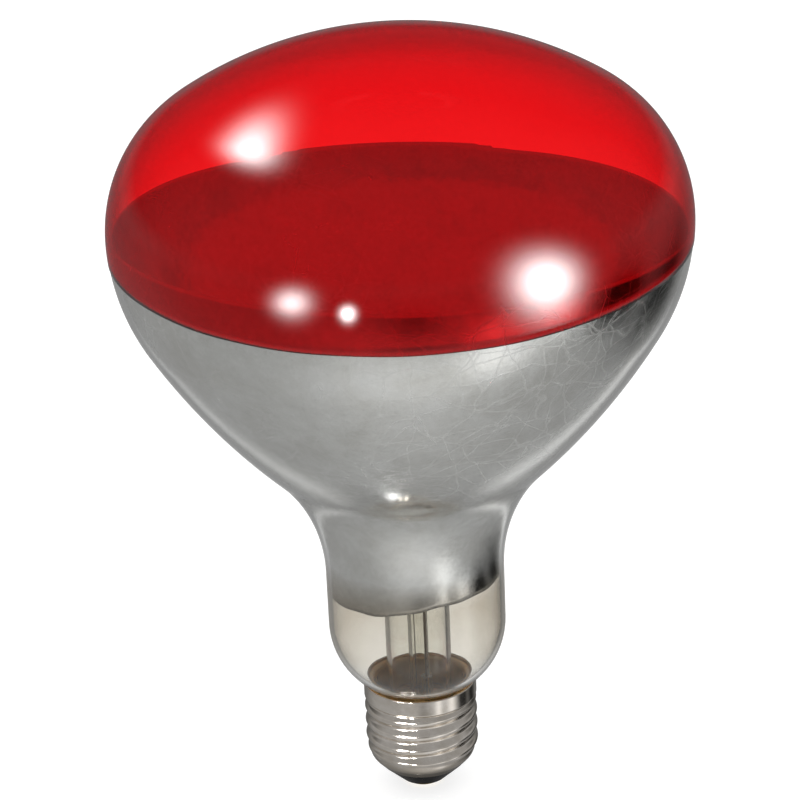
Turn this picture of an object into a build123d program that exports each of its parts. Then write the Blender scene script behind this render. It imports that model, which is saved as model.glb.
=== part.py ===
from build123d import *
import os
from math import acos, cos, degrees, radians, sin, tan

# Infrared reflector lamp for brooding young stock: a red-faced, silvered bulb on a medium screw base.
# Millimetres. +Z runs up the lamp's axis. The origin is the middle of the centre contact, the lowest
# point, so the lamp stands on z = 0 with its face up.

# --- Driving dimensions -------------------------------------------------------------------------
# Glass bulb, followed from the neck to the middle of the face
glass_diameter = 127.0
glass_wall = 1.1
neck_diameter = 40.8
skirt_top_drop = 1.8581   # from the shell's rim down to where the glass skirt starts to widen
neck_length = 13.0        # the straight part of the neck
neck_foot_radius = 18.0   # the round under the straight neck
skirt_fillet = 2.6        # where the round runs into the skirt inside the shell
flare_radius = 38.0       # from the neck out into the bowl
flare_angle = 45.6
rim_radius = 44.5         # the upper bowl, up to the widest line
rim_angle = 30.4
shoulder_radius = 33.3    # from the widest line into the face
shoulder_angle = 58.4

# Skins on the glass
skin_gap = 0.05
lacquer_thickness = 0.15
lacquer_edge_depth = 3.3    # from the widest line down to the highest point of the lacquer's edge
lacquer_sag_radius = 665.0  # seen from the side the edge is this wide arc, lowest at the front
lacquer_sag_offset = 15.0   # its highest point lies this far behind the axis
coating_thickness = 0.1
coating_rim_rise = 0.95     # from the widest line up to the coating's rim
coating_rim_tilt = 1.36     # degrees about Y
coating_foot_drop = 2.4     # from the top of the straight neck down to the coating's foot
coating_foot_tilt = 6.4

# Medium screw base
shell_top = 27.1
shell_wall = 0.3
collar_radius = 13.1
collar_length = 3.6
thread_depth = 0.75        # from the collar and the thread's crests down to its root
thread_pitch = 25.4 / 7
thread_width = 2.3
thread_run_in = 0.65       # from where the shell turns in up to the ridge's lower end
thread_start = -126.8      # azimuth of the ridge's lower end, degrees from +X
nose_radius = 3.0          # where the shell turns in under the thread
nose_angle = 42.0
nose_set_in = 2.35         # from the thread's root in to the shell's lower edge
nose_end_height = 5.9
contact_radius = 4.2
contact_thickness = 0.8
solder_height = 0.7
solder_flat_radius = 2.0
insulator_foot_radius = 5.4
insulator_wall = 2.6
insulator_top = 11.0
eyelet_bore = 1.3
eyelet_wall = 0.35
eyelet_depth = 3.2
cement_space = 0.85        # between the glass skirt and the thread's root
cement_top_drop = 0.3
skirt_depth = 8.1          # from the shell's rim down to the skirt's lower end

# Stem inside the neck
stem_turn = -68.0          # the stem's wires lie on this line, degrees from +X
stem_tube_radius = 7.5
stem_tube_wall = 1.0
stem_top = 49.0            # where the tube is flattened into the press
press_width = 14.0
press_thickness = 4.6
press_taper = 6.0
press_height = 16.0
exhaust_radius = 2.3
exhaust_bore = 1.5
exhaust_tip = 12.7
arbor_radius = 1.5
button_radius = 3.0
button_height = 4.0
button_drop = 8.4          # from the filament down to the button's underside

# Wires, filament and heat shield
wire_gap = 0.02
lead_spread = 4.2          # from the axis to each lead wire
inner_lead_radius = 0.45
outer_lead_radius = 0.3
seal_wire_radius = 0.35
filament_height = 82.4
filament_ring = 11.0       # the filament hangs in a six-cornered wreath of this radius
filament_radius = 0.6
filament_bend = 1.5
support_radius = 0.22
clamp_radius = 0.95
clamp_height = 2.7
lead_bend_drop = 3.4       # the centre lead turns in this far below the exhaust tube's tip
fuse_low = 22.0
fuse_high = 28.0
fuse_radius = 0.15
sleeve_radius = 1.3
sleeve_bore = 0.5
shield_rise = 4.0          # from the press up to the shield
shield_thickness = 0.4
shield_clearance = 1.8     # between the shield's edge and the coated neck
bead_radius = 1.2
bead_flange_radius = 2.0
bead_height = 3.6
weld_radius = 0.8

# --- Worked out from those ----------------------------------------------------------------------
neck_radius = neck_diameter / 2
thread_root_radius = collar_radius - thread_depth
nose_end_radius = thread_root_radius - nose_set_in
shell_bore = thread_root_radius - shell_wall
collar_bore = collar_radius - shell_wall
skirt_radius = shell_bore - cement_space
skirt_bottom = shell_top - skirt_depth
foot_reach = neck_foot_radius + skirt_fillet
foot_angle = degrees(acos(1 - (neck_radius - skirt_radius) / foot_reach))
skirt_top = shell_top - skirt_top_drop
neck_start = skirt_top + foot_reach * sin(radians(foot_angle))
neck_end = neck_start + neck_length

flare_cos = cos(radians(flare_angle))
rim_cos = cos(radians(rim_angle))
bowl_growth = glass_diameter / 2 - neck_radius - flare_radius * (1 - flare_cos) - rim_radius * (1 - rim_cos)
bowl_radius = bowl_growth / (rim_cos - flare_cos)
widest_height = (
    neck_end
    + flare_radius * sin(radians(flare_angle))
    + bowl_radius * (sin(radians(flare_angle)) - sin(radians(rim_angle)))
    + rim_radius * sin(radians(rim_angle))
)
shoulder_end_radius = glass_diameter / 2 - shoulder_radius * (1 - cos(radians(shoulder_angle)))
face_radius = shoulder_end_radius / cos(radians(shoulder_angle))
press_top = stem_top + press_height
button_bottom = filament_height - button_drop
shield_height = press_top + shield_rise
collar_end = shell_top - collar_length
step_end = collar_end - thread_depth
nose_turn = radians(nose_angle)
nose_drop = (nose_set_in - nose_radius * (1 - cos(nose_turn))) / tan(nose_turn)
nose_start = nose_end_height + nose_drop + nose_radius * sin(nose_turn)
thread_low = nose_start + thread_run_in
thread_high = step_end - thread_width / 2

os.makedirs("parts", exist_ok=True)


# --- Helpers ------------------------------------------------------------------------------------
def save(name, shape):
    """Write one node's solid or group of solids."""
    export_step(shape, f"parts/{name}.step")


def turned(edges):
    """A solid of revolution about Z from a closed outline drawn as radius and height."""
    return revolve(Plane.XZ * make_face(edges), Axis.Z)


def turned_outline(*points):
    """A solid of revolution from straight sides between (radius, height) corners."""
    return turned(Polyline(*points, close=True).edges())


def rod(radius, low, high, x=0.0, y=0.0):
    """A round bar parallel to Z."""
    return Pos(x, y, low) * extrude(Circle(radius), high - low)


def tube(radius, bore, low, high, x=0.0, y=0.0):
    return rod(radius, low, high, x, y) - rod(bore, low, high, x, y)


def group(shapes):
    """Separate solids kept together as one node."""
    return Compound([solid for shape in shapes for solid in shape.solids()])


def wire(path, radius):
    """A round wire swept along a path."""
    start = Plane(origin=path @ 0, z_dir=path % 0)
    return sweep(start * Circle(radius), path=path)


def on_stem(shape):
    """Turn a shape made on the stem's own X axis to where the stem sits in the neck."""
    return Rot(0, 0, stem_turn) * shape


def glass_line(inset):
    """The bulb's outline, moved in from its outer surface by inset: a list from the skirt to the face.

    Each bend is an arc tangent to its neighbours, so an inset only changes the radii.
    """
    skirt = Line((skirt_radius - inset, skirt_bottom), (skirt_radius - inset, skirt_top))
    chain = [skirt]
    for radius, turn in (
        (skirt_fillet + inset, -foot_angle),
        (neck_foot_radius - inset, foot_angle),
    ):
        chain.append(JernArc(chain[-1] @ 1, chain[-1] % 1, radius, turn))
    foot = chain[-1] @ 1
    chain.append(Line(foot, foot + Vector(0, neck_length)))
    for radius, turn in (
        (flare_radius + inset, -flare_angle),
        (bowl_radius - inset, flare_angle - rim_angle),
        (rim_radius - inset, rim_angle),
        (shoulder_radius - inset, shoulder_angle),
        (face_radius - inset, 90 - shoulder_angle),
    ):
        chain.append(JernArc(chain[-1] @ 1, chain[-1] % 1, radius, turn))
    return chain


NECK, RIM, SHOULDER = 3, 6, 8   # places in that list: the straight neck, the upper bowl, past the shoulder


def glass_skin(outer_inset, inner_inset, first=0, last=None):
    """The solid between two insets of the bulb's outline, over some of its bends."""
    outside = glass_line(outer_inset)[first:last]
    inside = glass_line(inner_inset)[first:last]
    ends = [Line(outside[0] @ 0, inside[0] @ 0), Line(outside[-1] @ 1, inside[-1] @ 1)]
    return turned([edge.edge() for edge in outside + inside + ends])


# --- Bulb: blown glass, red lacquer on the face, aluminium film inside the bowl -------------------
save("glass_envelope", glass_skin(0, glass_wall))

lacquer_outer = -skin_gap - lacquer_thickness
lacquer = glass_skin(lacquer_outer, -skin_gap, first=RIM)
sag_centre = widest_height - lacquer_edge_depth - lacquer_sag_radius
below_edge = Cylinder(lacquer_sag_radius, 2 * glass_diameter, rotation=(0, 90, 0))
save("face_lacquer", lacquer - Pos(0, lacquer_sag_offset, sag_centre) * below_edge)

coating_outer = glass_wall + skin_gap
coating_inner = coating_outer + coating_thickness
film = glass_skin(coating_outer, coating_inner, first=NECK, last=SHOULDER)
rim_plane = Plane((0, 0, widest_height + coating_rim_rise)).rotated((0, coating_rim_tilt, 0))
foot_plane = Plane((0, 0, neck_end - coating_foot_drop)).rotated((0, -coating_foot_tilt, 0))
film = split(film, bisect_by=rim_plane, keep=Keep.BOTTOM)
film = split(film, bisect_by=foot_plane, keep=Keep.TOP)
save("reflector_coating", film)

# --- Base: rolled screw shell, black insulator, contact, cement ------------------------------------
def shell_line(inset):
    """The shell's outline below the rim, moved in by inset: collar, step, root, rounded nose."""
    collar = Line((collar_radius - inset, shell_top), (collar_radius - inset, collar_end))
    root = thread_root_radius - inset
    step = Line(collar @ 1, (root, step_end))
    side = Line(step @ 1, (root, nose_start))
    bend = JernArc(side @ 1, (0, -1), nose_radius - inset, -nose_angle)
    length = nose_drop / cos(nose_turn)
    nose = Line(bend @ 1, bend @ 1 + (bend % 1) * length)
    return [collar, step, side, bend, nose]


def thread_ridge(inset):
    """One rolled ridge of the thread, a rounded section carried up the helix."""
    foot = thread_root_radius - shell_wall / 2 - inset
    half = thread_width / 2 - inset
    crown = ThreePointArc((foot, -half), (collar_radius - inset, 0), (foot, half))
    section = make_face([crown, Line(crown @ 1, crown @ 0)])
    path = Helix(thread_pitch, thread_high - thread_low, foot)
    return Pos(0, 0, thread_low) * Rot(0, 0, thread_start) * sweep(Plane.XZ * section, path, is_frenet=True)


outside = shell_line(0)
inside = shell_line(shell_wall)
shell_ends = [Line(outside[0] @ 0, inside[0] @ 0), Line(outside[-1] @ 1, inside[-1] @ 1)]
shell_tube = turned([edge.edge() for edge in outside + inside + shell_ends])
save("screw_shell", (shell_tube + thread_ridge(0)) - thread_ridge(shell_wall))

fit_inset = shell_wall + skin_gap
seat = shell_line(fit_inset)
contact_top = solder_height + contact_thickness
seat_top = Line((thread_root_radius - fit_inset, insulator_top), seat[3] @ 0)
nose_tip = seat[4] @ 1
under_nose = (seat[4] % 1) * skin_gap
cup_slope = tan(nose_turn)
cup_floor = contact_top + insulator_wall
cup_side = Vector(seat_top @ 0) - Vector(insulator_wall / cos(nose_turn), 0)
cup_foot_radius = max(cup_side.X - (insulator_top - cup_floor) * cup_slope, eyelet_bore + 2 * insulator_wall)
insulator_bore = eyelet_bore + eyelet_wall + skin_gap
insulator_edges = [
    seat_top,
    seat[3],
    seat[4],
    Polyline(
        nose_tip,
        nose_tip + under_nose,
        Vector(nose_end_radius, nose_end_height) + under_nose,
        (insulator_foot_radius, contact_top),
        (insulator_bore, contact_top),
        (insulator_bore, cup_floor),
        (cup_foot_radius, cup_floor),
        cup_side,
        seat_top @ 0,
    ),
]
save("base_insulator", turned([edge for part in insulator_edges for edge in part.edges()]))

eyelet = tube(contact_radius, eyelet_bore, solder_height, contact_top)
eyelet += tube(eyelet_bore + eyelet_wall, eyelet_bore, contact_top, contact_top + eyelet_depth - contact_thickness)
save("contact_eyelet", eyelet)

solder_side = contact_radius - contact_thickness
solder_rise = SagittaArc((solder_side, solder_height), (solder_flat_radius, 0), -solder_height / 4)
solder_top = Polyline(solder_flat_radius * Vector(1, 0), (0, 0), (0, solder_height), solder_rise @ 0)
solder = turned(list(solder_rise.edges()) + list(solder_top.edges()))
solder += rod(eyelet_bore - wire_gap, solder_height, contact_top)
lead_hole = outer_lead_radius + wire_gap
solder -= rod(lead_hole, solder_height, contact_top)
save("contact_solder", solder)

bulb_body = turned(
    [edge.edge() for edge in glass_line(-skin_gap)]
    + list(
        Polyline(
            glass_line(-skin_gap)[-1] @ 1,
            (0, skirt_bottom),
            (skirt_radius + skin_gap, skirt_bottom),
        ).edges()
    )
)
shell_lead_height = collar_end + 2.4 * weld_radius
shell_lead_reach = skirt_radius + cement_space / 2
flare_underside = skirt_bottom - stem_tube_wall
shell_lead_low = flare_underside - 4 * outer_lead_radius
shell_lead_line = FilletPolyline(
    (-lead_spread, 0, stem_top),
    (-lead_spread, 0, shell_lead_low),
    (-shell_lead_reach, 0, shell_lead_low),
    (-shell_lead_reach, 0, shell_lead_height),
    radius=4 * outer_lead_radius,
)
save("shell_lead", on_stem(wire(shell_lead_line, outer_lead_radius)))

weld_start = shell_lead_reach + outer_lead_radius + wire_gap
weld_length = collar_bore - skin_gap - weld_start
weld_spot = Pos(-weld_start, 0, shell_lead_height - weld_radius) * Rot(0, -90, 0)
save("shell_weld", on_stem(weld_spot * extrude(Circle(weld_radius), weld_length)))

cement_top = shell_top - cement_top_drop
cement_low = skirt_bottom + skin_gap
cement = turned_outline(
    (shell_bore - skin_gap, cement_low),
    (shell_bore - skin_gap, step_end),
    (collar_bore - skin_gap, collar_end),
    (collar_bore - skin_gap, cement_top),
    (skirt_radius - glass_wall, cement_top),
    (skirt_radius - glass_wall, cement_low),
)
lead_channel = on_stem(wire(shell_lead_line, lead_hole))
weld_pocket = on_stem(weld_spot * extrude(Circle(weld_radius + skin_gap), weld_length + skin_gap))
save("base_cement", cement - bulb_body - lead_channel - weld_pocket)

# --- Stem: flared tube, press, exhaust tube, arbor -------------------------------------------------
flare_centre = skirt_radius - glass_wall
flare_bend_radius = flare_centre - stem_tube_radius
flare_bend = skirt_bottom + flare_bend_radius
flare_bore = stem_tube_radius - stem_tube_wall
flare_edges = [
    Line((skirt_radius, flare_underside), (skirt_radius, skirt_bottom)),
    Line((skirt_radius, skirt_bottom), (flare_centre, skirt_bottom)),
    JernArc((flare_centre, skirt_bottom), (-1, 0), flare_bend_radius, -90),
    Line((stem_tube_radius, flare_bend), (stem_tube_radius, stem_top)),
    Line((stem_tube_radius, stem_top), (flare_bore, stem_top)),
    Line((flare_bore, stem_top), (flare_bore, flare_bend)),
    JernArc((flare_bore, flare_bend), (0, -1), flare_bend_radius + stem_tube_wall, 90),
    Line((flare_centre, flare_underside), (skirt_radius, flare_underside)),
]
save("stem_flare", turned([edge.edge() for edge in flare_edges]))

press_slab = RectangleRounded(press_width, press_thickness, 0.4 * press_thickness)
press_foot = Pos(0, 0, stem_top) * Circle(stem_tube_radius)
press = loft([press_foot.face(), (Pos(0, 0, stem_top + press_taper) * press_slab).face()])
press += Pos(0, 0, stem_top + press_taper) * extrude(press_slab, press_height - press_taper)
for side in (-1, 1):
    press -= rod(seal_wire_radius + wire_gap, stem_top, press_top, side * lead_spread)
blow_hole = rod(exhaust_bore, stem_top, stem_top + 2 * exhaust_bore)
side_hole = Pos(0, 0, stem_top + 2 * exhaust_bore) * Rot(-90, 0, 0) * extrude(Circle(exhaust_bore), stem_tube_radius)
save("stem_press", on_stem(press - blow_hole - side_hole))

exhaust_bend = exhaust_tip + exhaust_radius
exhaust_edges = [
    JernArc((0, exhaust_tip), (1, 0), exhaust_radius, 90),
    Line((exhaust_radius, exhaust_bend), (exhaust_radius, stem_top)),
    Line((exhaust_radius, stem_top), (exhaust_bore, stem_top)),
    Line((exhaust_bore, stem_top), (exhaust_bore, exhaust_bend)),
    JernArc((exhaust_bore, exhaust_bend), (0, -1), exhaust_bore, -90),
    Line((0, exhaust_bend - exhaust_bore), (0, exhaust_tip)),
]
save("exhaust_tube", turned([edge.edge() for edge in exhaust_edges]))

save("arbor_rod", rod(arbor_radius, press_top, button_bottom))
button = rod(button_radius, button_bottom, button_bottom + button_height)
save("arbor_button", fillet(button.edges(), 0.45 * button_height))

# --- Wires through the press, and the fuse in the lead to the centre contact ----------------------
seals = [on_stem(rod(seal_wire_radius, stem_top, press_top, side * lead_spread)) for side in (-1, 1)]
save("seal_wires", group(seals))

centre_upper = rod(outer_lead_radius, fuse_high, stem_top, lead_spread)
centre_line = FilletPolyline(
    (lead_spread, 0, fuse_low),
    (lead_spread, 0, exhaust_tip - lead_bend_drop),
    (0, 0, cup_floor + eyelet_bore),
    (0, 0, solder_height),
    radius=4 * outer_lead_radius,
)
centre_lower = wire(centre_line, outer_lead_radius)
save("centre_lead", group([on_stem(centre_upper), on_stem(centre_lower)]))
save("fuse_link", on_stem(rod(fuse_radius, fuse_low, fuse_high, lead_spread)))
sleeve_ends = (fuse_low - sleeve_radius, fuse_high + sleeve_radius)
save("fuse_sleeve", on_stem(tube(sleeve_radius, sleeve_bore, *sleeve_ends, lead_spread)))

# --- Inner leads, filament wreath and its supports -------------------------------------------------
corners = [Vector(filament_ring, 0, filament_height).rotate(Axis.Z, angle) for angle in range(120, 421, 60)]
lead_names = ("lead_wire_left", "lead_wire_right")
clamps = []
for name, side, corner in zip(lead_names, (-1, 1), (corners[0], corners[-1])):
    clamp_low = filament_height - clamp_height / 2
    line = FilletPolyline(
        (side * lead_spread, 0, press_top),
        (side * lead_spread, 0, shield_height + bead_height + 4 * inner_lead_radius),
        (corner.X, corner.Y, clamp_low - 4 * inner_lead_radius),
        (corner.X, corner.Y, filament_height),
        radius=3 * inner_lead_radius,
    )
    save(name, on_stem(wire(line, inner_lead_radius)))
    clamp = rod(clamp_radius, clamp_low, clamp_low + clamp_height, corner.X, corner.Y)
    clamp -= rod(inner_lead_radius + wire_gap, clamp_low, filament_height, corner.X, corner.Y)
    clamps.append(on_stem(clamp))
save("filament_clamps", group(clamps))

end_gap = clamp_radius + skin_gap
first_end = corners[0] + (corners[1] - corners[0]).normalized() * end_gap
last_end = corners[-1] + (corners[-2] - corners[-1]).normalized() * end_gap
filament_line = FilletPolyline(first_end, *corners[1:-1], last_end, radius=filament_bend)
save("filament_coil", on_stem(wire(filament_line, filament_radius)))

hook_ring = filament_radius + support_radius + 2 * skin_gap
hook_centre = filament_ring - filament_bend * (1 / cos(radians(30)) - 1)
supports = []
for angle in range(180, 361, 60):
    button_side = Vector(button_radius + skin_gap, 0, button_bottom + button_height / 2)
    hook_foot = Vector(hook_centre - hook_ring, 0, filament_height)
    stay = wire(Line(button_side, hook_foot), support_radius)
    hook = Pos(hook_centre, 0, filament_height) * Rot(90, 0, 0) * Torus(hook_ring, support_radius)
    supports.append(on_stem(Rot(0, 0, angle) * (stay + hook)))
save("filament_supports", group(supports))

# --- Heat shield across the neck, on ceramic beads on the two leads --------------------------------
shield_radius = neck_radius - coating_inner - shield_clearance
shield = rod(shield_radius, shield_height, shield_height + shield_thickness)
shield -= rod(arbor_radius + wire_gap + skin_gap, shield_height, shield_height + shield_thickness)
beads = []
for side in (-1, 1):
    spot = side * lead_spread
    shield -= rod(bead_radius + skin_gap, shield_height, shield_height + shield_thickness, spot)
    bead = rod(bead_radius, shield_height - bead_height / 2, shield_height + bead_height / 2, spot)
    bead += rod(bead_flange_radius, shield_height - bead_height / 2, shield_height - skin_gap, spot)
    beads.append(on_stem(bead - rod(inner_lead_radius + skin_gap, 0, filament_height, spot)))
save("heat_shield", on_stem(shield))
save("shield_beads", group(beads))

print(f"bowl arc {bowl_radius:.2f}, face arc {face_radius:.2f}, widest at {widest_height:.2f}")
print(f"glass top {(glass_line(0)[-1] @ 1).Y:.2f}, skirt radius {skirt_radius:.2f}, foot angle {foot_angle:.1f}")
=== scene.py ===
from math import cos, pi, radians, sin, sqrt, tan

import bpy
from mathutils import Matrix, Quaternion, Vector


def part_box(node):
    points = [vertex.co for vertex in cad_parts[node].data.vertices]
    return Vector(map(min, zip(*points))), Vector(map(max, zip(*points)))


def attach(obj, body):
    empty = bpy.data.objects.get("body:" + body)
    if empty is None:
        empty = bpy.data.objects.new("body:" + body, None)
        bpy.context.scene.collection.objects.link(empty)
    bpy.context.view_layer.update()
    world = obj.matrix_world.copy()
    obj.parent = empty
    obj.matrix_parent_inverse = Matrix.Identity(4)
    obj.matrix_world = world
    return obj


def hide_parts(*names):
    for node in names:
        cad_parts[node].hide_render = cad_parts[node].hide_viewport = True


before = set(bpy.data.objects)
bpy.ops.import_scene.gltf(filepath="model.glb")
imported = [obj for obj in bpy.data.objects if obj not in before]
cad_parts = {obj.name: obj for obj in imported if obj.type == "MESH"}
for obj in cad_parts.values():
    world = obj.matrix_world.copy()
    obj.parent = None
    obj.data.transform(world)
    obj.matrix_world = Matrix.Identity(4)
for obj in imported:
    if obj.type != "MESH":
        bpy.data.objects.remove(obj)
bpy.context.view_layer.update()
mm = 0.001


# --- Camera -----------------------------------------------------------------------------------
# A long lens a little above the lamp, half a metre in front of it, so the bowl's underside and
# the red face are both seen. The camera is rolled a touch, so the lamp stands a little off plumb.
camera_data = bpy.data.cameras.new("camera")
camera_data.lens = 112.56
camera_data.sensor_width = 36.0
camera_data.clip_start = 0.01
camera_data.clip_end = 50.0
camera_data.dof.use_dof = False
camera = bpy.data.objects.new("camera", camera_data)
camera_distance = 519.09 * mm
camera_height = 299.34 * mm
camera_pitch = -21.38
camera_lean = 2.40
camera_turn = -0.75
camera.location = (0, -camera_distance, camera_height)
camera.rotation_euler = (radians(90 + camera_pitch), radians(camera_lean), radians(camera_turn))
bpy.context.scene.collection.objects.link(camera)
bpy.context.scene.camera = camera


# --- Glass bulb -------------------------------------------------------------------------------
# Blown soda-lime glass about a millimetre thick, drawn in to a neck whose skirt sits in the screw
# shell. The neck's glass is tinted a cloudy beige, fading out above and below.
glass_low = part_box("glass_envelope")[0]
shell_low, shell_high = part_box("screw_shell")
glass_wall = 1.1 * mm
skirt_radius = 11.2 * mm
skirt_top_drop = 1.8581 * mm
skirt_fillet = 2.6 * mm
foot_radius = 18.0 * mm
foot_turn = 56.4
neck_length = 13.0 * mm
flare_radius = 38.0 * mm
flare_turn = 45.6
bowl_radius = 157.01 * mm
rim_radius = 44.5 * mm
rim_turn = 30.4
shoulder_radius = 33.3 * mm
shoulder_turn = 58.4
face_radius = 90.94 * mm
turn_segments = 240
bend_step = 1.3 * mm


def bulb_outline():
    """The bulb's outer line from the skirt to the middle of the face, as (radius, height, lean).

    Lean is the line's angle from the vertical, outwards, so a skin on the glass is this line
    moved along its own normal.
    """
    line = [(skirt_radius, glass_low.z, 0.0), (skirt_radius, shell_high.z - skirt_top_drop, 0.0)]
    bends = (
        (skirt_fillet, 0, foot_turn),
        (foot_radius, foot_turn, 0),
        (neck_length, 0, 0),
        (flare_radius, 0, flare_turn),
        (bowl_radius, flare_turn, rim_turn),
        (rim_radius, rim_turn, 0),
        (shoulder_radius, 0, -shoulder_turn),
        (face_radius, -shoulder_turn, -90),
    )
    for size, start, end in bends:
        radius, height, _ = line[-1]
        first, last = radians(start), radians(end)
        length = size * abs(last - first) if start != end else size
        steps = max(6, round(length / bend_step))
        for step in range(1, steps + 1):
            share = step / steps
            lean = first + (last - first) * share
            if start == end:
                line.append((radius, height + size * share, lean))
            else:
                side = 1 if last > first else -1
                across = side * size * (cos(first) - cos(lean))
                along = side * size * (sin(lean) - sin(first))
                line.append((radius + across, height + along, lean))
    return line


def moved_in(line, inset):
    """The same line moved inwards from the glass's outer surface."""
    return [(r - cos(lean) * inset, z + sin(lean) * inset, lean) for r, z, lean in line]


def turned_skin(name, rows):
    """A closed mesh turned about the lamp's axis from rows of (radius, height) at each azimuth.

    rows(azimuth) gives one loop of points; the loop is closed back to its start.
    """
    points, faces = [], []
    count = 0
    for column in range(turn_segments):
        azimuth = 2 * pi * column / turn_segments
        loop = rows(azimuth)
        count = len(loop)
        points += [(r * cos(azimuth), r * sin(azimuth), z) for r, z in loop]
    for column in range(turn_segments):
        near = column * count
        far = (column + 1) % turn_segments * count
        for row in range(count):
            above = (row + 1) % count
            faces.append((near + row, far + row, far + above, near + above))
    mesh = bpy.data.meshes.new(name)
    mesh.from_pydata(points, [], faces)
    mesh.validate()
    mesh.shade_smooth()
    piece = bpy.data.objects.new(name, mesh)
    bpy.context.scene.collection.objects.link(piece)
    weld = piece.modifiers.new("pole", "WELD")
    weld.merge_threshold = 0.0005 * mm
    return piece


def new_finish(name):
    """A material with its node tree and its Principled shader."""
    material = bpy.data.materials.new(name)
    material.use_nodes = True
    tree = material.node_tree
    return material, tree, tree.nodes["Principled BSDF"]


def put(tree, kind, **settings):
    """A node with some of its settings."""
    node = tree.nodes.new(kind)
    for key, value in settings.items():
        setattr(node, key, value)
    return node


def cast(tree, kind, values, **settings):
    """A node with settings and plain values for some of its inputs."""
    node = put(tree, kind, **settings)
    for key, value in values.items():
        node.inputs[key].default_value = value
    return node


def wear(piece, material):
    """Give a piece one material."""
    piece.data.materials.clear()
    piece.data.materials.append(material)


bulb_line = bulb_outline()
pole_gap = 0.0001 * mm
glass_loop = [(max(r, pole_gap), z) for r, z, _ in bulb_line]
glass_loop += [(max(r, pole_gap), z) for r, z, _ in reversed(moved_in(bulb_line, glass_wall))]
bulb = turned_skin("bulb_glass", lambda azimuth: glass_loop)

glass, tree, shader = new_finish("soda_lime_glass")
place = put(tree, "ShaderNodeTexCoord")
height = put(tree, "ShaderNodeSeparateXYZ")
haze = cast(tree, "ShaderNodeTexNoise", {"Scale": 90.0, "Detail": 3.0})
lower = cast(tree, "ShaderNodeMapRange", {"From Min": 60 * mm, "From Max": 52 * mm})
foot_fade = cast(tree, "ShaderNodeMapRange", {"From Min": 29 * mm, "From Max": 39 * mm, "To Min": 0.1})
above_foot = put(tree, "ShaderNodeMath", operation="MULTIPLY")
cloud = put(tree, "ShaderNodeMath", operation="MULTIPLY_ADD")
tint = put(tree, "ShaderNodeMix", data_type="RGBA")
tint.inputs["A"].default_value = (0.985, 0.99, 0.975, 1)
tint.inputs["B"].default_value = (0.70, 0.665, 0.60, 1)
tree.links.new(place.outputs["Object"], height.inputs[0])
tree.links.new(place.outputs["Object"], haze.inputs["Vector"])
tree.links.new(height.outputs["Z"], lower.inputs["Value"])
tree.links.new(haze.outputs["Fac"], cloud.inputs[0])
cloud.inputs[1].default_value = 0.4
cloud.inputs[2].default_value = 0.8
cloudy = put(tree, "ShaderNodeMath", operation="MULTIPLY", use_clamp=True)
tree.links.new(height.outputs["Z"], foot_fade.inputs["Value"])
tree.links.new(lower.outputs["Result"], above_foot.inputs[0])
tree.links.new(foot_fade.outputs["Result"], above_foot.inputs[1])
tree.links.new(above_foot.outputs["Value"], cloudy.inputs[0])
tree.links.new(cloud.outputs["Value"], cloudy.inputs[1])
tree.links.new(cloudy.outputs["Value"], tint.inputs["Factor"])
tree.links.new(tint.outputs["Result"], shader.inputs["Base Color"])
shader.inputs["Roughness"].default_value = 0.0
shader.inputs["IOR"].default_value = 1.5
shader.inputs["Transmission Weight"].default_value = 1.0
wear(bulb, glass)
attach(bulb, "root")
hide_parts("glass_envelope")


# --- Red lacquer on the face -------------------------------------------------------------------
# A transparent heat-proof lacquer, sprayed over the face and just past the widest line. Its lower
# edge is one wide sweep, lowest at the front.
skin_gap = 0.05 * mm
lacquer_thickness = 0.13 * mm
widest = max(bulb_line, key=lambda point: point[0])
lacquer_top_edge = widest[1] - 3.3 * mm
lacquer_sag_radius = 665.0 * mm
lacquer_sag_offset = 15.0 * mm
lacquer_rows = 64
lacquer_depth = 14.0 * mm


def cut_line(line, limit):
    """The part of a line above limit(radius), where limit gives the edge's height there."""
    kept = []
    for lower_point, upper_point in zip(line, line[1:]):
        below = lower_point[1] - limit(lower_point[0])
        above = upper_point[1] - limit(upper_point[0])
        if below < 0 <= above:
            share = below / (below - above)
            kept = [tuple(a + (b - a) * share for a, b in zip(lower_point, upper_point))]
        if above >= 0:
            kept.append(upper_point)
    return kept


def spread(line, count):
    """The same line with an even number of points, so neighbouring columns match."""
    run = [0.0]
    for before, after in zip(line, line[1:]):
        run.append(run[-1] + sqrt((after[0] - before[0]) ** 2 + (after[1] - before[1]) ** 2))
    found, place_in_line = [], 0
    for step in range(count):
        wanted = run[-1] * step / (count - 1)
        while place_in_line < len(run) - 2 and run[place_in_line + 1] < wanted:
            place_in_line += 1
        span = run[place_in_line + 1] - run[place_in_line]
        share = min(1.0, (wanted - run[place_in_line]) / span)
        before, after = line[place_in_line], line[place_in_line + 1]
        found.append(tuple(a + (b - a) * share for a, b in zip(before, after)))
    return found


above_bowl = [point for point in bulb_line if point[1] > widest[1] - lacquer_depth]


def lacquer_loop(azimuth):
    """The coat's cross-section at one azimuth, with its edge a little uneven."""
    ripple = 0.05 * mm * sin(7 * azimuth + 1) + 0.04 * mm * sin(17 * azimuth)

    def edge(radius):
        back = radius * sin(azimuth) - lacquer_sag_offset
        return lacquer_top_edge - back * back / (2 * lacquer_sag_radius) + ripple

    strip = spread(cut_line(above_bowl, edge), lacquer_rows)
    outer = moved_in(strip, -skin_gap - lacquer_thickness)
    inner = moved_in(strip, -skin_gap)
    return [(max(r, pole_gap), z) for r, z, _ in outer + inner[::-1]]


face = turned_skin("red_face_lacquer", lacquer_loop)

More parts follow.
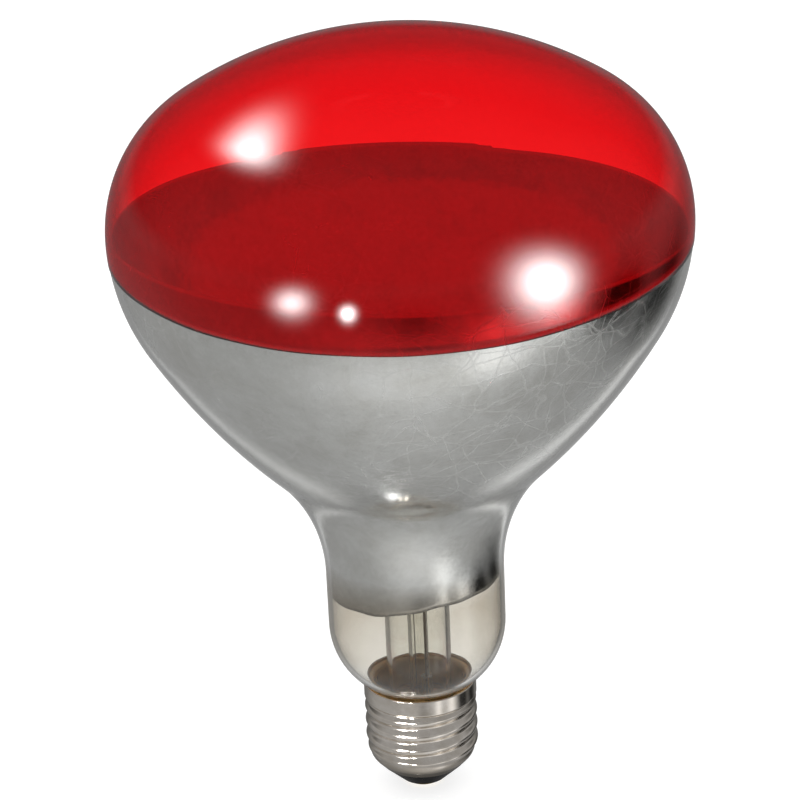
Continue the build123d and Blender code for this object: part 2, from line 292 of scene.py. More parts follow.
lacquer, tree, shader = new_finish("red_lacquer")
place = put(tree, "ShaderNodeTexCoord")
flow = cast(tree, "ShaderNodeTexNoise", {"Scale": 35.0, "Detail": 4.0, "Roughness": 0.6})
tint = put(tree, "ShaderNodeMix", data_type="RGBA")
tint.inputs["A"].default_value = (0.92, 0.055, 0.075, 1)
tint.inputs["B"].default_value = (0.95, 0.07, 0.09, 1)
orange_peel = cast(tree, "ShaderNodeTexNoise", {"Scale": 260.0, "Detail": 2.0})
skin_bump = cast(tree, "ShaderNodeBump", {"Strength": 0.02, "Distance": 0.02 * mm})
tree.links.new(place.outputs["Object"], flow.inputs["Vector"])
tree.links.new(place.outputs["Object"], orange_peel.inputs["Vector"])
tree.links.new(flow.outputs["Fac"], tint.inputs["Factor"])
tree.links.new(tint.outputs["Result"], shader.inputs["Base Color"])
tree.links.new(orange_peel.outputs["Fac"], skin_bump.inputs["Height"])
tree.links.new(skin_bump.outputs["Normal"], shader.inputs["Normal"])
shader.inputs["Roughness"].default_value = 0.0
shader.inputs["IOR"].default_value = 1.30
shader.inputs["Transmission Weight"].default_value = 1.0
wear(face, lacquer)
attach(face, "root")
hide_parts("face_lacquer")


# --- Aluminium film ---------------------------------------------------------------------------
# Aluminium boiled onto the inside of the bowl and the top of the neck. It is a mirror with the
# glass's own waves in it, and fine creases, most of them on the front. The creases are bumped, and
# are also painted as paler, less metallic lines: a painted highlight along each crease.
film_inset = glass_wall + skin_gap
film_thickness = 0.1 * mm
film_rim = widest[1] + 0.95 * mm
film_rim_tilt = tan(radians(1.36))
neck_end_rise = 36.4 * mm
film_foot = glass_low.z + neck_end_rise - 2.4 * mm
film_foot_tilt = tan(radians(6.4))
film_rows = 90
film_margin = 8.0 * mm


def film_loop(azimuth):
    """The film's cross-section at one azimuth, between its ragged foot and its rim."""
    across = cos(azimuth)
    ragged = 0.25 * mm * sin(5 * azimuth + 2) + 0.12 * mm * sin(13 * azimuth)

    def foot(radius):
        return film_foot + radius * across * film_foot_tilt + ragged

    def rim(radius):
        return -film_rim + radius * across * film_rim_tilt

    kept = cut_line([point for point in bulb_line if point[1] > film_foot - film_margin], foot)
    upside_down = [(r, -z, lean) for r, z, lean in reversed(kept) if z < film_rim + film_margin]
    kept = [(r, -z, lean) for r, z, lean in reversed(cut_line(upside_down, rim))]
    strip = spread(kept, film_rows)
    outer = moved_in(strip, film_inset)
    inner = moved_in(strip, film_inset + film_thickness)
    return [(r, z) for r, z, _ in outer + inner[::-1]]


film = turned_skin("aluminium_film", film_loop)

mirror, tree, shader = new_finish("aluminised_film")
place = put(tree, "ShaderNodeTexCoord")
warp = cast(tree, "ShaderNodeTexNoise", {"Scale": 30.0, "Detail": 3.0})
bent = put(tree, "ShaderNodeVectorMath", operation="MULTIPLY_ADD")
bent.inputs[1].default_value = (0.02, 0.02, 0.02)
waves = cast(tree, "ShaderNodeTexNoise", {"Scale": 26.0, "Detail": 6.0, "Roughness": 0.62})
wave_bump = cast(tree, "ShaderNodeBump", {"Strength": 0.5, "Distance": 0.9 * mm})
bloom = cast(tree, "ShaderNodeTexNoise", {"Scale": 70.0, "Detail": 7.0, "Roughness": 0.72})
bloom_even = cast(tree, "ShaderNodeMapRange", {"From Min": 0.35, "From Max": 0.65})
dull = cast(tree, "ShaderNodeMapRange", {"To Min": 0.05, "To Max": 0.26})
tint = put(tree, "ShaderNodeMix", data_type="RGBA")
tint.inputs["A"].default_value = (0.70, 0.69, 0.67, 1)
tint.inputs["B"].default_value = (0.90, 0.90, 0.90, 1)
# Painted highlight: along the creases the film is mixed towards white and made less metallic.
painted_crease_glint = put(tree, "ShaderNodeMix", data_type="RGBA")
painted_crease_glint.inputs["B"].default_value = (1.0, 1.0, 1.0, 1)
painted_glint_weight = cast(tree, "ShaderNodeMath", {1: 0.55}, operation="MULTIPLY")
rougher = cast(tree, "ShaderNodeMath", {1: 0.25}, operation="MULTIPLY")
rough_sum = put(tree, "ShaderNodeMath", operation="ADD")
less_metal = cast(tree, "ShaderNodeMath", {1: -0.5, 2: 1.0}, operation="MULTIPLY_ADD")
line_bump = cast(tree, "ShaderNodeBump", {"Strength": 0.35, "Distance": 0.08 * mm})
patchy = cast(tree, "ShaderNodeTexNoise", {"Scale": 22.0, "Detail": 2.0})
patch_on = cast(tree, "ShaderNodeMapRange", {"From Min": 0.44, "From Max": 0.62})
tree.links.new(place.outputs["Object"], warp.inputs["Vector"])
tree.links.new(warp.outputs["Color"], bent.inputs[0])
tree.links.new(place.outputs["Object"], bent.inputs[2])
lines = None
for stretch in ((1.0, 1.0, 0.35), (0.35, 1.0, 1.0), (0.6, 0.4, 1.2)):
    drawn_out = put(tree, "ShaderNodeVectorMath", operation="MULTIPLY")
    drawn_out.inputs[1].default_value = stretch
    creases = cast(tree, "ShaderNodeTexVoronoi", {"Scale": 95.0}, feature="DISTANCE_TO_EDGE")
    hair = cast(tree, "ShaderNodeMapRange", {"From Min": 0.02, "From Max": 0.0})
    tree.links.new(bent.outputs["Vector"], drawn_out.inputs[0])
    tree.links.new(drawn_out.outputs["Vector"], creases.inputs["Vector"])
    tree.links.new(creases.outputs["Distance"], hair.inputs["Value"])
    if lines is None:
        lines = hair.outputs["Result"]
    else:
        most = put(tree, "ShaderNodeMath", operation="MAXIMUM")
        tree.links.new(lines, most.inputs[0])
        tree.links.new(hair.outputs["Result"], most.inputs[1])
        lines = most.outputs["Value"]
crease_middle = (20 * mm, -45 * mm, 116 * mm)
from_front = cast(tree, "ShaderNodeVectorMath", {1: crease_middle}, operation="DISTANCE")
on_front = cast(tree, "ShaderNodeMapRange", {"From Min": 46 * mm, "From Max": 20 * mm, "To Max": 0.5})
faint = cast(tree, "ShaderNodeMath", {1: 0.35}, operation="MULTIPLY")
creased = put(tree, "ShaderNodeMath", operation="MAXIMUM")
shown = put(tree, "ShaderNodeMath", operation="MULTIPLY")
tree.links.new(place.outputs["Object"], from_front.inputs[0])
tree.links.new(from_front.outputs["Value"], on_front.inputs["Value"])
tree.links.new(patch_on.outputs["Result"], faint.inputs[0])
tree.links.new(faint.outputs["Value"], creased.inputs[0])
tree.links.new(on_front.outputs["Result"], creased.inputs[1])
tree.links.new(place.outputs["Object"], patchy.inputs["Vector"])
tree.links.new(patchy.outputs["Fac"], patch_on.inputs["Value"])
tree.links.new(lines, shown.inputs[0])
tree.links.new(creased.outputs["Value"], shown.inputs[1])
tree.links.new(place.outputs["Object"], waves.inputs["Vector"])
tree.links.new(waves.outputs["Fac"], wave_bump.inputs["Height"])
tree.links.new(shown.outputs["Value"], line_bump.inputs["Height"])
tree.links.new(wave_bump.outputs["Normal"], line_bump.inputs["Normal"])
tree.links.new(line_bump.outputs["Normal"], shader.inputs["Normal"])
tree.links.new(place.outputs["Object"], bloom.inputs["Vector"])
tree.links.new(bloom.outputs["Fac"], bloom_even.inputs["Value"])
tree.links.new(bloom_even.outputs["Result"], tint.inputs["Factor"])
tree.links.new(bloom_even.outputs["Result"], dull.inputs["Value"])
tree.links.new(shown.outputs["Value"], painted_glint_weight.inputs[0])
tree.links.new(painted_glint_weight.outputs["Value"], painted_crease_glint.inputs["Factor"])
tree.links.new(tint.outputs["Result"], painted_crease_glint.inputs["A"])
tree.links.new(painted_crease_glint.outputs["Result"], shader.inputs["Base Color"])
tree.links.new(shown.outputs["Value"], rougher.inputs[0])
tree.links.new(dull.outputs["Result"], rough_sum.inputs[0])
tree.links.new(rougher.outputs["Value"], rough_sum.inputs[1])
tree.links.new(rough_sum.outputs["Value"], shader.inputs["Roughness"])
tree.links.new(shown.outputs["Value"], less_metal.inputs[0])
tree.links.new(less_metal.outputs["Value"], shader.inputs["Metallic"])
wear(film, mirror)
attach(film, "root")
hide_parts("reflector_coating")


# --- Small parts' finishes ----------------------------------------------------------------------
# Every metal, glass and ceramic part has a cloudy change of colour and sheen. One group does it,
# and each finish places it with its own values.
def make_mottle():
    """A node group with the cloudy change of colour and sheen, and a height to go with it."""
    group = bpy.data.node_groups.new("mottle", "ShaderNodeTree")
    for socket, kind in (
        ("Scale", "NodeSocketFloat"),
        ("Low Color", "NodeSocketColor"),
        ("High Color", "NodeSocketColor"),
        ("Low Roughness", "NodeSocketFloat"),
        ("High Roughness", "NodeSocketFloat"),
    ):
        group.interface.new_socket(socket, in_out="INPUT", socket_type=kind)
    group.interface.new_socket("Color", in_out="OUTPUT", socket_type="NodeSocketColor")
    group.interface.new_socket("Roughness", in_out="OUTPUT", socket_type="NodeSocketFloat")
    group.interface.new_socket("Height", in_out="OUTPUT", socket_type="NodeSocketFloat")
    entry = group.nodes.new("NodeGroupInput")
    leave = group.nodes.new("NodeGroupOutput")
    where = group.nodes.new("ShaderNodeTexCoord")
    noise = cast(group, "ShaderNodeTexNoise", {"Detail": 5.0, "Roughness": 0.6})
    even = cast(group, "ShaderNodeMapRange", {"From Min": 0.3, "From Max": 0.7})
    shade = put(group, "ShaderNodeMix", data_type="RGBA")
    sheen = group.nodes.new("ShaderNodeMapRange")
    group.links.new(where.outputs["Object"], noise.inputs["Vector"])
    group.links.new(entry.outputs["Scale"], noise.inputs["Scale"])
    group.links.new(noise.outputs["Fac"], even.inputs["Value"])
    group.links.new(even.outputs["Result"], shade.inputs["Factor"])
    group.links.new(entry.outputs["Low Color"], shade.inputs["A"])
    group.links.new(entry.outputs["High Color"], shade.inputs["B"])
    group.links.new(even.outputs["Result"], sheen.inputs["Value"])
    group.links.new(entry.outputs["Low Roughness"], sheen.inputs["To Min"])
    group.links.new(entry.outputs["High Roughness"], sheen.inputs["To Max"])
    group.links.new(shade.outputs["Result"], leave.inputs["Color"])
    group.links.new(sheen.outputs["Result"], leave.inputs["Roughness"])
    group.links.new(even.outputs["Result"], leave.inputs["Height"])
    return group


mottle = make_mottle()


def mottled(name, scale, low, high, smooth, rough, depth=0.02 * mm, metallic=0.0, clear=0.0):
    """A finish whose colour and sheen drift between two values, over a fine unevenness."""
    material, tree, shader = new_finish(name)
    drift = put(tree, "ShaderNodeGroup", node_tree=mottle)
    drift.inputs["Scale"].default_value = scale
    drift.inputs["Low Color"].default_value = (*low, 1)
    drift.inputs["High Color"].default_value = (*high, 1)
    drift.inputs["Low Roughness"].default_value = smooth
    drift.inputs["High Roughness"].default_value = rough
    uneven = cast(tree, "ShaderNodeBump", {"Strength": 0.3, "Distance": depth})
    tree.links.new(drift.outputs["Color"], shader.inputs["Base Color"])
    tree.links.new(drift.outputs["Roughness"], shader.inputs["Roughness"])
    tree.links.new(drift.outputs["Height"], uneven.inputs["Height"])
    tree.links.new(uneven.outputs["Normal"], shader.inputs["Normal"])
    shader.inputs["Metallic"].default_value = metallic
    shader.inputs["Transmission Weight"].default_value = clear
    return material


def refinish(material, *names):
    """Give carried-over nodes a finish."""
    for name in names:
        wear(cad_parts[name], material)


# --- Screw shell ------------------------------------------------------------------------------
# Nickel-plated brass, rolled to a medium screw thread, dulled and scratched by handling. Its
# lowest few millimetres are painted dark brown: painted shade towards the nose.
shell_wall = 0.3 * mm
thread_pitch = 25.4 / 7 * mm
thread_depth = 0.75 * mm
collar_length = 3.6 * mm
root_radius = shell_high.x - thread_depth
step_high = shell_high.z - collar_length
step_low = step_high - thread_depth
nose_high = 9.66 * mm
nose_low = shell_low.z
nose_edge = 10.0 * mm
nose_bend = 3.0 * mm
thread_turn = radians(-126.8)
shell_rows = 150
shell_columns = 240


def shell_radius(height):
    """The shell's plain outline below its rim: collar, step, thread root and rounded nose."""
    if height > step_high:
        return root_radius + thread_depth
    if height > step_low:
        return root_radius + thread_depth * (height - step_low) / thread_depth
    if height > nose_high:
        return root_radius
    drop = nose_high - height
    if drop < nose_bend * sin(radians(42)):
        return root_radius - nose_bend + sqrt(nose_bend**2 - drop**2)
    past = height - nose_low
    return nose_edge + past * tan(radians(42))


def thread_rise(azimuth, height):
    """How far the rolled thread stands above the root, fading out at both its ends."""
    first = nose_high + 0.65 * mm
    turns = (height - first) / thread_pitch - (azimuth - thread_turn) / (2 * pi)
    wave = 0.5 + 0.5 * cos(2 * pi * turns)
    run_in = min(1.0, max(0.0, (height - first + 1.0 * mm) / (1.6 * mm)))
    run_out = min(1.0, max(0.0, (step_low - height) / (0.8 * mm)))
    return thread_depth * wave**0.8 * run_in * run_out


def shell_skin():
    """The shell's mesh: its outline with the thread on it, and the same moved in by its wall."""
    points, faces = [], []
    rise = (shell_high.z - nose_low) / (shell_rows - 1)
    heights = [nose_low + rise * row for row in range(shell_rows)]
    for column in range(shell_columns):
        azimuth = 2 * pi * column / shell_columns
        loop = [(shell_radius(z) + thread_rise(azimuth, z), z) for z in heights]
        loop += [(r - shell_wall, z) for r, z in reversed(loop)]
        points += [(r * cos(azimuth), r * sin(azimuth), z) for r, z in loop]
    count = 2 * shell_rows
    for column in range(shell_columns):
        near, far = column * count, (column + 1) % shell_columns * count
        for row in range(count):
            above = (row + 1) % count
            faces.append((near + row, far + row, far + above, near + above))
    mesh = bpy.data.meshes.new("rolled_shell")
    mesh.from_pydata(points, [], faces)
    mesh.shade_smooth()
    return mesh


shell = bpy.data.objects.new("rolled_shell", shell_skin())
bpy.context.scene.collection.objects.link(shell)
nickel, tree, shader = new_finish("rolled_nickel")
drift = put(tree, "ShaderNodeGroup", node_tree=mottle)
drift.inputs["Scale"].default_value = 220.0
drift.inputs["Low Color"].default_value = (0.70, 0.64, 0.56, 1)
drift.inputs["High Color"].default_value = (0.88, 0.83, 0.77, 1)
drift.inputs["Low Roughness"].default_value = 0.08
drift.inputs["High Roughness"].default_value = 0.20
place = put(tree, "ShaderNodeTexCoord")
apart = put(tree, "ShaderNodeSeparateXYZ")
# Painted shade: below about 11 mm the shell is mixed towards a dark brown, darkest at the nose.
low_painted_shade = cast(tree, "ShaderNodeMapRange", {"From Min": 11 * mm, "From Max": 7 * mm, "To Max": 0.9})
painted_nose_shade = put(tree, "ShaderNodeMix", data_type="RGBA")
painted_nose_shade.inputs["B"].default_value = (0.17, 0.135, 0.09, 1)
rolled = cast(tree, "ShaderNodeTexNoise", {"Scale": 500.0, "Detail": 4.0})
along = put(tree, "ShaderNodeVectorMath", operation="MULTIPLY")
along.inputs[1].default_value = (0.25, 0.25, 2.0)
fine = cast(tree, "ShaderNodeBump", {"Strength": 0.25, "Distance": 0.03 * mm})
tree.links.new(place.outputs["Object"], apart.inputs[0])
tree.links.new(apart.outputs["Z"], low_painted_shade.inputs["Value"])
tree.links.new(low_painted_shade.outputs["Result"], painted_nose_shade.inputs["Factor"])
tree.links.new(drift.outputs["Color"], painted_nose_shade.inputs["A"])
tree.links.new(painted_nose_shade.outputs["Result"], shader.inputs["Base Color"])
tree.links.new(drift.outputs["Roughness"], shader.inputs["Roughness"])
tree.links.new(place.outputs["Object"], along.inputs[0])
tree.links.new(along.outputs["Vector"], rolled.inputs["Vector"])
tree.links.new(rolled.outputs["Fac"], fine.inputs["Height"])
tree.links.new(fine.outputs["Normal"], shader.inputs["Normal"])
shader.inputs["Metallic"].default_value = 1.0
wear(shell, nickel)
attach(shell, "root")
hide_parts("screw_shell")


# --- Insulator and contact ----------------------------------------------------------------------
# A black glass insulator is moulded into the shell's end and carries a brass eyelet, which is
# closed with a flattened bead of solder.
black_glass = mottled("black_glass", 500.0, (0.004, 0.004, 0.005), (0.010, 0.009, 0.008), 0.12, 0.3)
black_glass.node_tree.nodes["Principled BSDF"].inputs["Specular IOR Level"].default_value = 0.03
refinish(black_glass, "base_insulator")
refinish(
    mottled("stamped_brass", 700.0, (0.60, 0.42, 0.16), (0.72, 0.55, 0.26), 0.2, 0.4, metallic=1.0),
    "contact_eyelet",
)
refinish(
    mottled("lead_tin_solder", 600.0, (0.45, 0.45, 0.46), (0.66, 0.66, 0.66), 0.25, 0.5, metallic=1.0),
    "contact_solder",
    "shell_weld",
)


# --- Basing cement ------------------------------------------------------------------------------
# A brown resin and marble-flour cement, cured between the glass skirt and the shell.
cement_low, cement_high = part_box("base_cement")
shell_bore = 11.98 * mm
collar_bore = 12.74 * mm
cement_line = (
    (skirt_radius + 0.06 * mm, cement_high.z - 0.6 * mm),
    (skirt_radius + 0.7 * mm, cement_high.z - 0.1 * mm),
    (collar_bore, cement_high.z - 0.4 * mm),
    (collar_bore, shell_high.z - 3.6 * mm),
    (shell_bore, shell_high.z - 4.4 * mm),
    (shell_bore, cement_low.z - 6.0 * mm),
    (shell_bore - 1.5 * mm, cement_low.z - 5.0 * mm),
    (shell_bore - 4.5 * mm, cement_low.z - 3.2 * mm),
    (skirt_radius - 5.2 * mm, cement_low.z - 2.2 * mm),
    (skirt_radius - 3.2 * mm, cement_low.z - 1.6 * mm),
    (skirt_radius + 0.06 * mm, cement_low.z - 0.9 * mm),
)


def cement_loop(azimuth):
    """The cement's cross-section at one azimuth, slumped unevenly where it faces inwards."""
    slump = 0.35 * mm * sin(3 * azimuth + 0.6) + 0.2 * mm * sin(7 * azimuth)
    slump += 0.1 * mm * sin(16 * azimuth + 2)
    return [(r, z + slump * (0.25 if z > cement_low.z else 1.0)) for r, z in cement_line]


cement = turned_skin("basing_cement", cement_loop)
wear(
    cement,
    mottled("baked_cement", 420.0, (0.95, 0.54, 0.20), (0.98, 0.68, 0.30), 0.5, 0.8, 0.2 * mm),
)
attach(cement, "root")
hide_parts("base_cement")


# --- Stem glass ---------------------------------------------------------------------------------
# The flared tube, the flattened press, the exhaust tube and the arbor are lead glass.
refinish(
    mottled("stem_glass", 150.0, (0.93, 0.93, 0.90), (0.98, 0.98, 0.96), 0.0, 0.02, clear=1.0),
    "stem_flare",
    "stem_press",
    "exhaust_tube",
    "arbor_rod",
    "arbor_button",
    "fuse_sleeve",
)


# --- Wires --------------------------------------------------------------------------------------
# Nickel leads, copper-clad wires through the press, molybdenum hooks and a thin fuse wire.
refinish(
    mottled("nickel_wire", 900.0, (0.16, 0.12, 0.10), (0.30, 0.25, 0.21), 0.25, 0.45, metallic=1.0),
    "shell_lead",
    "centre_lead",
    "lead_wire_left",
    "lead_wire_right",
    "filament_clamps",
)
refinish(
    mottled("copper_clad", 900.0, (0.55, 0.20, 0.10), (0.72, 0.33, 0.18), 0.3, 0.5, metallic=1.0),
    "seal_wires",
)
refinish(
    mottled("fuse_wire", 900.0, (0.55, 0.52, 0.45), (0.70, 0.68, 0.62), 0.25, 0.4, metallic=1.0),
    "fuse_link",
)
refinish(
    mottled("molybdenum_wire", 900.0, (0.32, 0.32, 0.33), (0.45, 0.45, 0.46), 0.3, 0.5, metallic=1.0),
    "filament_supports",
)


# --- Filament -----------------------------------------------------------------------------------
# Fine tungsten wire coiled on a mandrel and hung in a wreath.
refinish(
    mottled("tungsten", 1200.0, (0.13, 0.13, 0.13), (0.24, 0.23, 0.22), 0.35, 0.55, metallic=1.0),
    "filament_coil",
)


# --- Heat shield --------------------------------------------------------------------------------
# A disc across the neck keeps the filament's heat off the press. It rides on two ceramic beads.
refinish(
    mottled("shield_sheet", 300.0, (0.55, 0.54, 0.50), (0.68, 0.67, 0.64), 0.35, 0.55, metallic=1.0),
    "heat_shield",
)
refinish(
    mottled("steatite", 600.0, (0.62, 0.58, 0.50), (0.74, 0.71, 0.64), 0.5, 0.7),
    "shield_beads",
)


# --- Studio -------------------------------------------------------------------------------------
# A pale floor and a pale room, which is what the camera sees and what lights the matt parts. The
# room that the lamp mirrors is darker, with soft bright and dark patches in it.
floor_half = 6.0
floor_mesh = bpy.data.meshes.new("floor")
floor_mesh.from_pydata(
    [
        (-floor_half, -floor_half, 0),
        (floor_half, -floor_half, 0),
        (floor_half, floor_half, 0),
        (-floor_half, floor_half, 0),
    ],
    [],
    [(0, 1, 2, 3)],
)
floor = bpy.data.objects.new("floor", floor_mesh)
bpy.context.scene.collection.objects.link(floor)

paper = bpy.data.materials.new("paper_floor")
paper.use_nodes = True
tree = paper.node_tree
tree.nodes.clear()
path = put(tree, "ShaderNodeLightPath")
seen = cast(tree, "ShaderNodeEmission", {"Color": (1.0, 1.0, 1.0, 1), "Strength": 0.70})
matt = cast(tree, "ShaderNodeBsdfDiffuse", {"Color": (0.50, 0.50, 0.50, 1)})
pale = put(tree, "ShaderNodeAddShader")
side = put(tree, "ShaderNodeNewGeometry")
unseen = put(tree, "ShaderNodeMath", operation="ADD", use_clamp=True)
nothing = put(tree, "ShaderNodeBsdfTransparent")
pick = put(tree, "ShaderNodeMixShader")
leave = put(tree, "ShaderNodeOutputMaterial")
tree.links.new(seen.outputs["Emission"], pale.inputs[0])
tree.links.new(matt.outputs["BSDF"], pale.inputs[1])
tree.links.new(path.outputs["Glossy Depth"], unseen.inputs[0])
tree.links.new(side.outputs["Backfacing"], unseen.inputs[1])
tree.links.new(unseen.outputs["Value"], pick.inputs["Fac"])
tree.links.new(pale.outputs["Shader"], pick.inputs[1])
tree.links.new(nothing.outputs["BSDF"], pick.inputs[2])
tree.links.new(pick.outputs["Shader"], leave.inputs["Surface"])
wear(floor, paper)

world = bpy.data.worlds.new("room")
world.use_nodes = True
bpy.context.scene.world = world
tree = world.node_tree
tree.nodes.clear()
path = put(tree, "ShaderNodeLightPath")
place = put(tree, "ShaderNodeTexCoord")
apart = put(tree, "ShaderNodeSeparateXYZ")
tree.links.new(place.outputs["Generated"], apart.inputs[0])


def toward(azimuth, elevation):
    """A direction from the lamp: azimuth 0 is the camera's side, 90 the lamp's right."""
    turn, rise = radians(azimuth), radians(elevation)
    return Vector((sin(turn) * cos(rise), -cos(turn) * cos(rise), sin(rise)))


def lobe(azimuth, elevation, width, strength):
    """A soft bright or dark patch of the room, as a value at each direction."""
    dot = cast(tree, "ShaderNodeVectorMath", {1: toward(azimuth, elevation)}, operation="DOT_PRODUCT")
    sharp = 1 / (1 - cos(radians(width)))
    fall = cast(tree, "ShaderNodeMath", {1: sharp, 2: -sharp}, operation="MULTIPLY_ADD")
    soft = put(tree, "ShaderNodeMath", operation="EXPONENT")
    scaled = cast(tree, "ShaderNodeMath", {1: strength}, operation="MULTIPLY")
    tree.links.new(place.outputs["Generated"], dot.inputs[0])
    tree.links.new(dot.outputs["Value"], fall.inputs[0])
    tree.links.new(fall.outputs["Value"], soft.inputs[0])
    tree.links.new(soft.outputs["Value"], scaled.inputs[0])
    return scaled.outputs["Value"]


def strip(azimuth, width, strength):
    """An upright bright strip, low down, at one azimuth."""
    across = cast(tree, "ShaderNodeVectorMath", {1: toward(azimuth + 90, 0)}, operation="DOT_PRODUCT")
    ahead = cast(tree, "ShaderNodeVectorMath", {1: toward(azimuth, 0)}, operation="DOT_PRODUCT")
    squared = put(tree, "ShaderNodeMath", operation="MULTIPLY")
    fall = cast(tree, "ShaderNodeMath", {1: -1 / sin(radians(width)) ** 2}, operation="MULTIPLY")
    soft = put(tree, "ShaderNodeMath", operation="EXPONENT")
    facing = cast(tree, "ShaderNodeMapRange", {"From Min": 0.1, "From Max": 0.4, "To Max": strength})
    low = cast(tree, "ShaderNodeMapRange", {"From Min": -0.42, "From Max": -0.58})
    lowest = cast(tree, "ShaderNodeMapRange", {"From Min": -0.90, "From Max": -0.80})
    span = put(tree, "ShaderNodeMath", operation="MULTIPLY")
    lit_side = put(tree, "ShaderNodeMath", operation="MULTIPLY")
    both = put(tree, "ShaderNodeMath", operation="MULTIPLY")
    tree.links.new(place.outputs["Generated"], across.inputs[0])
    tree.links.new(place.outputs["Generated"], ahead.inputs[0])
    tree.links.new(across.outputs["Value"], squared.inputs[0])
    tree.links.new(across.outputs["Value"], squared.inputs[1])
    tree.links.new(squared.outputs["Value"], fall.inputs[0])
    tree.links.new(fall.outputs["Value"], soft.inputs[0])
    tree.links.new(ahead.outputs["Value"], facing.inputs["Value"])
    tree.links.new(apart.outputs["Z"], low.inputs["Value"])
    tree.links.new(facing.outputs["Result"], lit_side.inputs[0])
    tree.links.new(apart.outputs["Z"], lowest.inputs["Value"])
    tree.links.new(low.outputs["Result"], span.inputs[0])
    tree.links.new(lowest.outputs["Result"], span.inputs[1])
    tree.links.new(span.outputs["Value"], lit_side.inputs[1])
    tree.links.new(lit_side.outputs["Value"], both.inputs[0])
    tree.links.new(soft.outputs["Value"], both.inputs[1])
    return both.outputs["Value"]


below = cast(
    tree, "ShaderNodeMapRange", {"From Min": 0.1, "From Max": -0.1, "To Min": 0.52, "To Max": 0.35}
)
tree.links.new(apart.outputs["Z"], below.inputs["Value"])
total = below.outputs["Result"]
# Each patch: azimuth, elevation, width and strength. A strip has no elevation.
for patch in (
    lobe(0, -58, 30, 0.34),
    lobe(42, -44, 12, 0.62),
    lobe(66, -28, 9, 0.70),
    lobe(118, -35, 13, -0.12),
    lobe(95, -25, 12, -0.46),
    lobe(130, -24, 14, -0.32),
    lobe(4, -21, 12, -0.24),
    lobe(36, -29, 6, 0.60),
    lobe(180, -58, 11, -0.22),
    lobe(180, -21, 9, 0.80),
    lobe(-168, -71, 1.5, 3.0),
    strip(-153, 3, 0.30),
    strip(151, 3, 0.50),
):
    add = put(tree, "ShaderNodeMath", operation="ADD")
    tree.links.new(total, add.inputs[0])
    tree.links.new(patch, add.inputs[1])
    total = add.outputs["Value"]
not_black = cast(tree, "ShaderNodeMath", {1: 0.02}, operation="MAXIMUM")
# Glass, lacquer and bare metal mirror the room dimmed where it is overhead or behind the lamp. What
# comes through the glass from the film is not dimmed. The camera and matt parts see plain white.
behind = cast(
    tree, "ShaderNodeMapRange", {"From Min": 0.0, "From Max": 0.6, "To Min": 0.65, "To Max": 0.08}
)
low_behind = cast(
    tree, "ShaderNodeMapRange", {"From Min": 0.3, "From Max": 0.8, "To Min": 1.0, "To Max": 0.4}
)
overhead = cast(tree, "ShaderNodeMapRange", {"From Min": -0.02, "From Max": 0.12})
dimmed = put(tree, "ShaderNodeMath", operation="MULTIPLY")
through = put(tree, "ShaderNodeMix", data_type="FLOAT")
met = cast(tree, "ShaderNodeMath", {1: 0.5}, operation="GREATER_THAN")
mirrored = put(tree, "ShaderNodeMath", operation="SUBTRACT", use_clamp=True)
room = put(tree, "ShaderNodeMix", data_type="FLOAT")
room.inputs["A"].default_value = 1.0
lit = put(tree, "ShaderNodeBackground")
leave = put(tree, "ShaderNodeOutputWorld")
tree.links.new(total, not_black.inputs[0])
tree.links.new(apart.outputs["Y"], behind.inputs["Value"])
tree.links.new(behind.outputs["Result"], overhead.inputs["To Max"])
tree.links.new(apart.outputs["Y"], low_behind.inputs["Value"])
tree.links.new(low_behind.outputs["Result"], overhead.inputs["To Min"])
tree.links.new(apart.outputs["Z"], overhead.inputs["Value"])
tree.links.new(not_black.outputs["Value"], dimmed.inputs[0])
tree.links.new(overhead.outputs["Result"], dimmed.inputs[1])
tree.links.new(path.outputs["Is Transmission Ray"], through.inputs["Factor"])
tree.links.new(dimmed.outputs["Value"], through.inputs["A"])
tree.links.new(not_black.outputs["Value"], through.inputs["B"])
tree.links.new(path.outputs["Glossy Depth"], met.inputs[0])
tree.links.new(met.outputs["Value"], mirrored.inputs[0])
tree.links.new(path.outputs["Diffuse Depth"], mirrored.inputs[1])
tree.links.new(mirrored.outputs["Value"], room.inputs["Factor"])
tree.links.new(through.outputs["Result"], room.inputs["B"])
tree.links.new(room.outputs["Result"], lit.inputs["Strength"])
tree.links.new(lit.outputs["Background"], leave.inputs["Surface"])
lit.inputs["Color"].default_value = (1.0, 1.0, 1.0, 1)


# --- Soft boxes -----------------------------------------------------------------------------------
# Four round soft boxes stand round the lamp. They are seen only as highlights: all four on the red
# face, and the two low ones on the left on the screw shell as well.
lit_face = bpy.data.collections.new("lit_face")
lit_face.objects.link(face)
lit_face_and_shell = bpy.data.collections.new("lit_face_and_shell")
lit_face_and_shell.objects.link(face)
lit_face_and_shell.objects.link(shell)
box_distance = 1.4
box_aim = Vector((0, 0, widest[1]))
glow_fall = 7.2
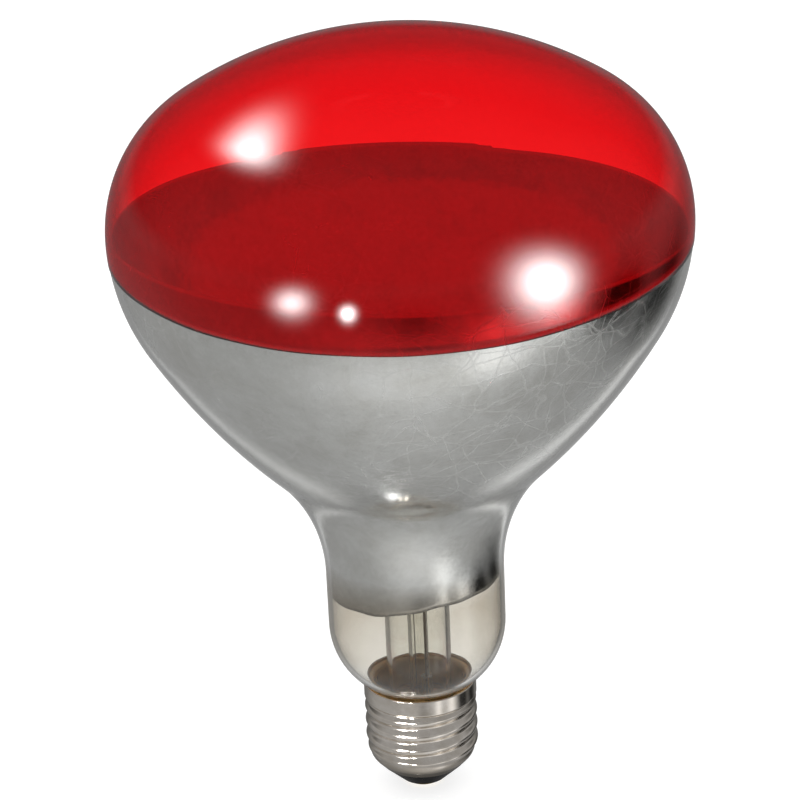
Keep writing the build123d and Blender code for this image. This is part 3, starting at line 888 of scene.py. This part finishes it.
# Each box: azimuth, elevation, roll, half width, half height, brightness and what it lights.
soft_boxes = (
    ("soft_box_left", -127, 52.7, 28, 0.74, 0.36, 42, lit_face),
    ("soft_box_right", 53, -6.0, 108, 1.05, 0.72, 88, lit_face),
    ("soft_box_low_left", -40.6, -8.7, 70, 0.52, 0.38, 60, lit_face_and_shell),
    ("soft_box_spot", -20.2, -14.0, 84, 0.28, 0.15, 140, lit_face_and_shell),
)
for name, azimuth, elevation, roll, wide, high, strength, receivers in soft_boxes:
    back_from = toward(azimuth, elevation)
    mesh = bpy.data.meshes.new(name)
    mesh.from_pydata(
        [(-wide, -high, 0), (wide, -high, 0), (wide, high, 0), (-wide, high, 0)],
        [],
        [(0, 1, 2, 3)],
    )
    card = bpy.data.objects.new(name, mesh)
    bpy.context.scene.collection.objects.link(card)
    card.rotation_mode = "QUATERNION"
    level = back_from.to_track_quat("Z", "Y")
    card.rotation_quaternion = level @ Quaternion((0, 0, 1), radians(roll))
    card.location = box_aim + back_from * box_distance
    card.visible_camera = False
    card.visible_diffuse = False
    card.visible_transmission = False
    card.visible_shadow = False
    card.light_linking.receiver_collection = receivers
    glow = bpy.data.materials.new(name)
    glow.use_nodes = True
    tree = glow.node_tree
    tree.nodes.clear()
    place = put(tree, "ShaderNodeTexCoord")
    centred = put(tree, "ShaderNodeVectorMath", operation="MULTIPLY_ADD")
    centred.inputs[1].default_value = (2, 2, 0)
    centred.inputs[2].default_value = (-1, -1, 0)
    from_middle = put(tree, "ShaderNodeVectorMath", operation="DOT_PRODUCT")
    fall = cast(tree, "ShaderNodeMath", {1: -glow_fall}, operation="MULTIPLY")
    soft = put(tree, "ShaderNodeMath", operation="EXPONENT")
    bright = cast(tree, "ShaderNodeMath", {1: strength}, operation="MULTIPLY")
    shine = put(tree, "ShaderNodeEmission")
    clear = put(tree, "ShaderNodeBsdfTransparent")
    both = put(tree, "ShaderNodeAddShader")
    leave = put(tree, "ShaderNodeOutputMaterial")
    tree.links.new(place.outputs["Generated"], centred.inputs[0])
    tree.links.new(centred.outputs["Vector"], from_middle.inputs[0])
    tree.links.new(centred.outputs["Vector"], from_middle.inputs[1])
    tree.links.new(from_middle.outputs["Value"], fall.inputs[0])
    tree.links.new(fall.outputs["Value"], soft.inputs[0])
    tree.links.new(soft.outputs["Value"], bright.inputs[0])
    tree.links.new(bright.outputs["Value"], shine.inputs["Strength"])
    tree.links.new(shine.outputs["Emission"], both.inputs[0])
    tree.links.new(clear.outputs["BSDF"], both.inputs[1])
    tree.links.new(both.outputs["Shader"], leave.inputs["Surface"])
    wear(card, glow)


# --- Picture and size ---------------------------------------------------------------------------
# Rays need many turns to get through the glass, and the colours are shown as they are.
scene = bpy.context.scene
scene.view_settings.view_transform = "Standard"
scene.cycles.max_bounces = 32
scene.cycles.glossy_bounces = 16
scene.cycles.transmission_bounces = 32
scene.cycles.transparent_max_bounces = 16
